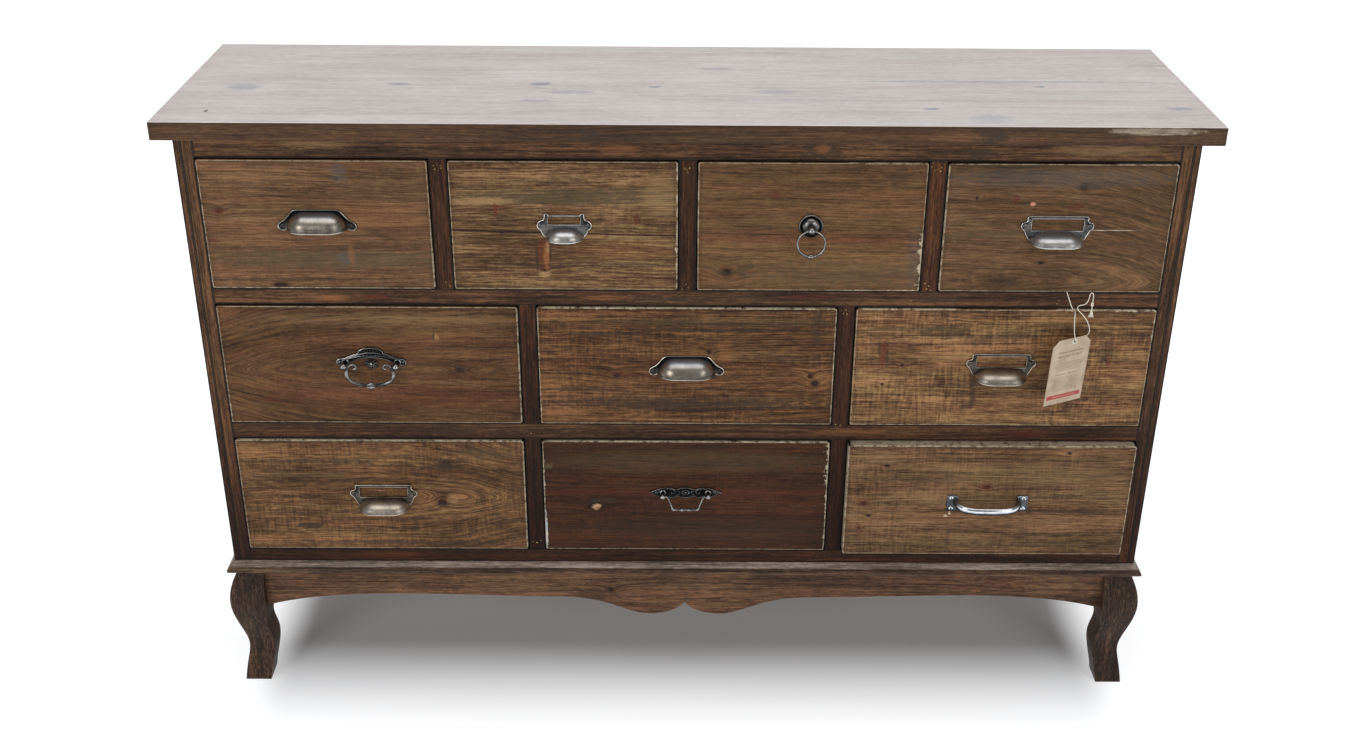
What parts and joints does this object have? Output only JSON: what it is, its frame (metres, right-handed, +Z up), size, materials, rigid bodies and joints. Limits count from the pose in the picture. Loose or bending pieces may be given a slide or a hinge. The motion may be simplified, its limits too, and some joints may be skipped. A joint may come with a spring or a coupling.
{
  "type": "chest of drawers",
  "caption": "Floor-standing wooden chest of drawers on cabriole legs, with mixed board fronts, unlike metal pulls and a moulded base.",
  "frame": {"origin": "bottom centre of the whole chest, handles included, on the floor", "axes": "+Z up, the drawers open towards -Y, +X to the right as seen from the front"},
  "size_m": [1.2, 0.338, 0.78],
  "materials": {
    "top_wood": "reclaimed boards, washed pale, matt wax",
    "frame_wood": "dark stained, matt, worn at the arrises",
    "base_wood": "dark stained moulding, greyish on its slope",
    "leg_wood": "very dark stain, satin",
    "inner_wood": "unfinished softwood",
    "drawer_1_wood": "warm brown, worn edges",
    "drawer_2_wood": "light brown, two boards, one knot",
    "drawer_3_wood": "brown, one knot",
    "drawer_4_wood": "greyish brown, arched grain",
    "drawer_5_wood": "warm brown",
    "drawer_6_wood": "brown with saw marks",
    "drawer_7_wood": "light tan with saw marks and knots",
    "drawer_8_wood": "brown with knots",
    "drawer_9_wood": "dark red brown",
    "drawer_10_wood": "tan with saw marks and knots",
    "antique_metal": "antique pewter, dark in the hollows and bright on the raised edges",
    "bright_metal": "bright zinc, slightly aged",
    "card": "buff uncoated card with a metal eyelet",
    "string": "undyed cotton"
  },
  "bodies": {
    "carcass": {"top_boards": "top_wood", "side_panel_left": "frame_wood", "side_panel_right": "frame_wood", "front_post_left": "frame_wood", "front_post_right": "frame_wood", "rear_frame": "inner_wood", "front_rail_top": "frame_wood", "front_rail_upper": "frame_wood", "front_rail_lower": "frame_wood", "front_rail_bottom": "frame_wood", "muntins": "frame_wood", "drawer_runners": "inner_wood", "drawer_guides": "inner_wood", "back_boards": "inner_wood", "bottom_panel": "inner_wood", "base_frame": "base_wood", "leg_front_left": "leg_wood", "leg_front_right": "leg_wood", "leg_rear_left": "leg_wood", "leg_rear_right": "leg_wood", "apron_front": "leg_wood", "apron_left": "leg_wood", "apron_right": "leg_wood", "apron_rear": "leg_wood", "leg_blocks": "inner_wood"},
    "drawer_1": {"drawer_1_front": "drawer_1_wood", "drawer_1_box": "inner_wood", "drawer_1_pull": "antique_metal"},
    "drawer_2": {"drawer_2_front": "drawer_2_wood", "drawer_2_box": "inner_wood", "drawer_2_pull": "antique_metal"},
    "drawer_3": {"drawer_3_front": "drawer_3_wood", "drawer_3_box": "inner_wood", "drawer_3_pull": "antique_metal"},
    "drawer_4": {"drawer_4_front": "drawer_4_wood", "drawer_4_box": "inner_wood", "drawer_4_pull": "antique_metal"},
    "drawer_5": {"drawer_5_front": "drawer_5_wood", "drawer_5_box": "inner_wood", "drawer_5_pull": "antique_metal"},
    "drawer_6": {"drawer_6_front": "drawer_6_wood", "drawer_6_box": "inner_wood", "drawer_6_pull": "antique_metal"},
    "drawer_7": {"drawer_7_front": "drawer_7_wood", "drawer_7_box": "inner_wood", "drawer_7_pull": "antique_metal", "tag_card": "card", "tag_string": "string"},
    "drawer_8": {"drawer_8_front": "drawer_8_wood", "drawer_8_box": "inner_wood", "drawer_8_pull": "antique_metal"},
    "drawer_9": {"drawer_9_front": "drawer_9_wood", "drawer_9_box": "inner_wood", "drawer_9_pull": "antique_metal"},
    "drawer_10": {"drawer_10_front": "drawer_10_wood", "drawer_10_box": "inner_wood", "drawer_10_pull": "bright_metal"},
    "swinging_ring_3": {"drawer_3_ring": "antique_metal"},
    "swinging_bail_5": {"drawer_5_bail": "antique_metal"},
    "swinging_bail_9": {"drawer_9_bail": "antique_metal"}
  },
  "joints": [
    {"name": "drawer_1_slide", "type": "slide", "parent": "carcass", "child": "drawer_1", "axis": [0, -1, 0], "range_m": [0, 0.19]},
    {"name": "drawer_2_slide", "type": "slide", "parent": "carcass", "child": "drawer_2", "axis": [0, -1, 0], "range_m": [0, 0.19]},
    {"name": "drawer_3_slide", "type": "slide", "parent": "carcass", "child": "drawer_3", "axis": [0, -1, 0], "range_m": [0, 0.19]},
    {"name": "drawer_4_slide", "type": "slide", "parent": "carcass", "child": "drawer_4", "axis": [0, -1, 0], "range_m": [0, 0.19]},
    {"name": "drawer_5_slide", "type": "slide", "parent": "carcass", "child": "drawer_5", "axis": [0, -1, 0], "range_m": [0, 0.19]},
    {"name": "drawer_6_slide", "type": "slide", "parent": "carcass", "child": "drawer_6", "axis": [0, -1, 0], "range_m": [0, 0.19]},
    {"name": "drawer_7_slide", "type": "slide", "parent": "carcass", "child": "drawer_7", "axis": [0, -1, 0], "range_m": [0, 0.19]},
    {"name": "drawer_8_slide", "type": "slide", "parent": "carcass", "child": "drawer_8", "axis": [0, -1, 0], "range_m": [0, 0.19]},
    {"name": "drawer_9_slide", "type": "slide", "parent": "carcass", "child": "drawer_9", "axis": [0, -1, 0], "range_m": [0, 0.19]},
    {"name": "drawer_10_slide", "type": "slide", "parent": "carcass", "child": "drawer_10", "axis": [0, -1, 0], "range_m": [-0.008, 0.182]},
    {"name": "drawer_3_ring_hinge", "type": "hinge", "parent": "drawer_3", "child": "swinging_ring_3", "pos_m": [0.14238, -0.1525, 0.654], "axis": [-1, 0, 0], "range_deg": [-20, 200]},
    {"name": "drawer_5_bail_hinge", "type": "hinge", "parent": "drawer_5", "child": "swinging_bail_5", "pos_m": [-0.37967, -0.151, 0.47595], "axis": [-1, 0, 0], "range_deg": [-20, 200]},
    {"name": "drawer_9_bail_hinge", "type": "hinge", "parent": "drawer_9", "child": "swinging_bail_9", "pos_m": [0, -0.149, 0.29395], "axis": [-1, 0, 0], "range_deg": [-20, 200]}
  ]
}
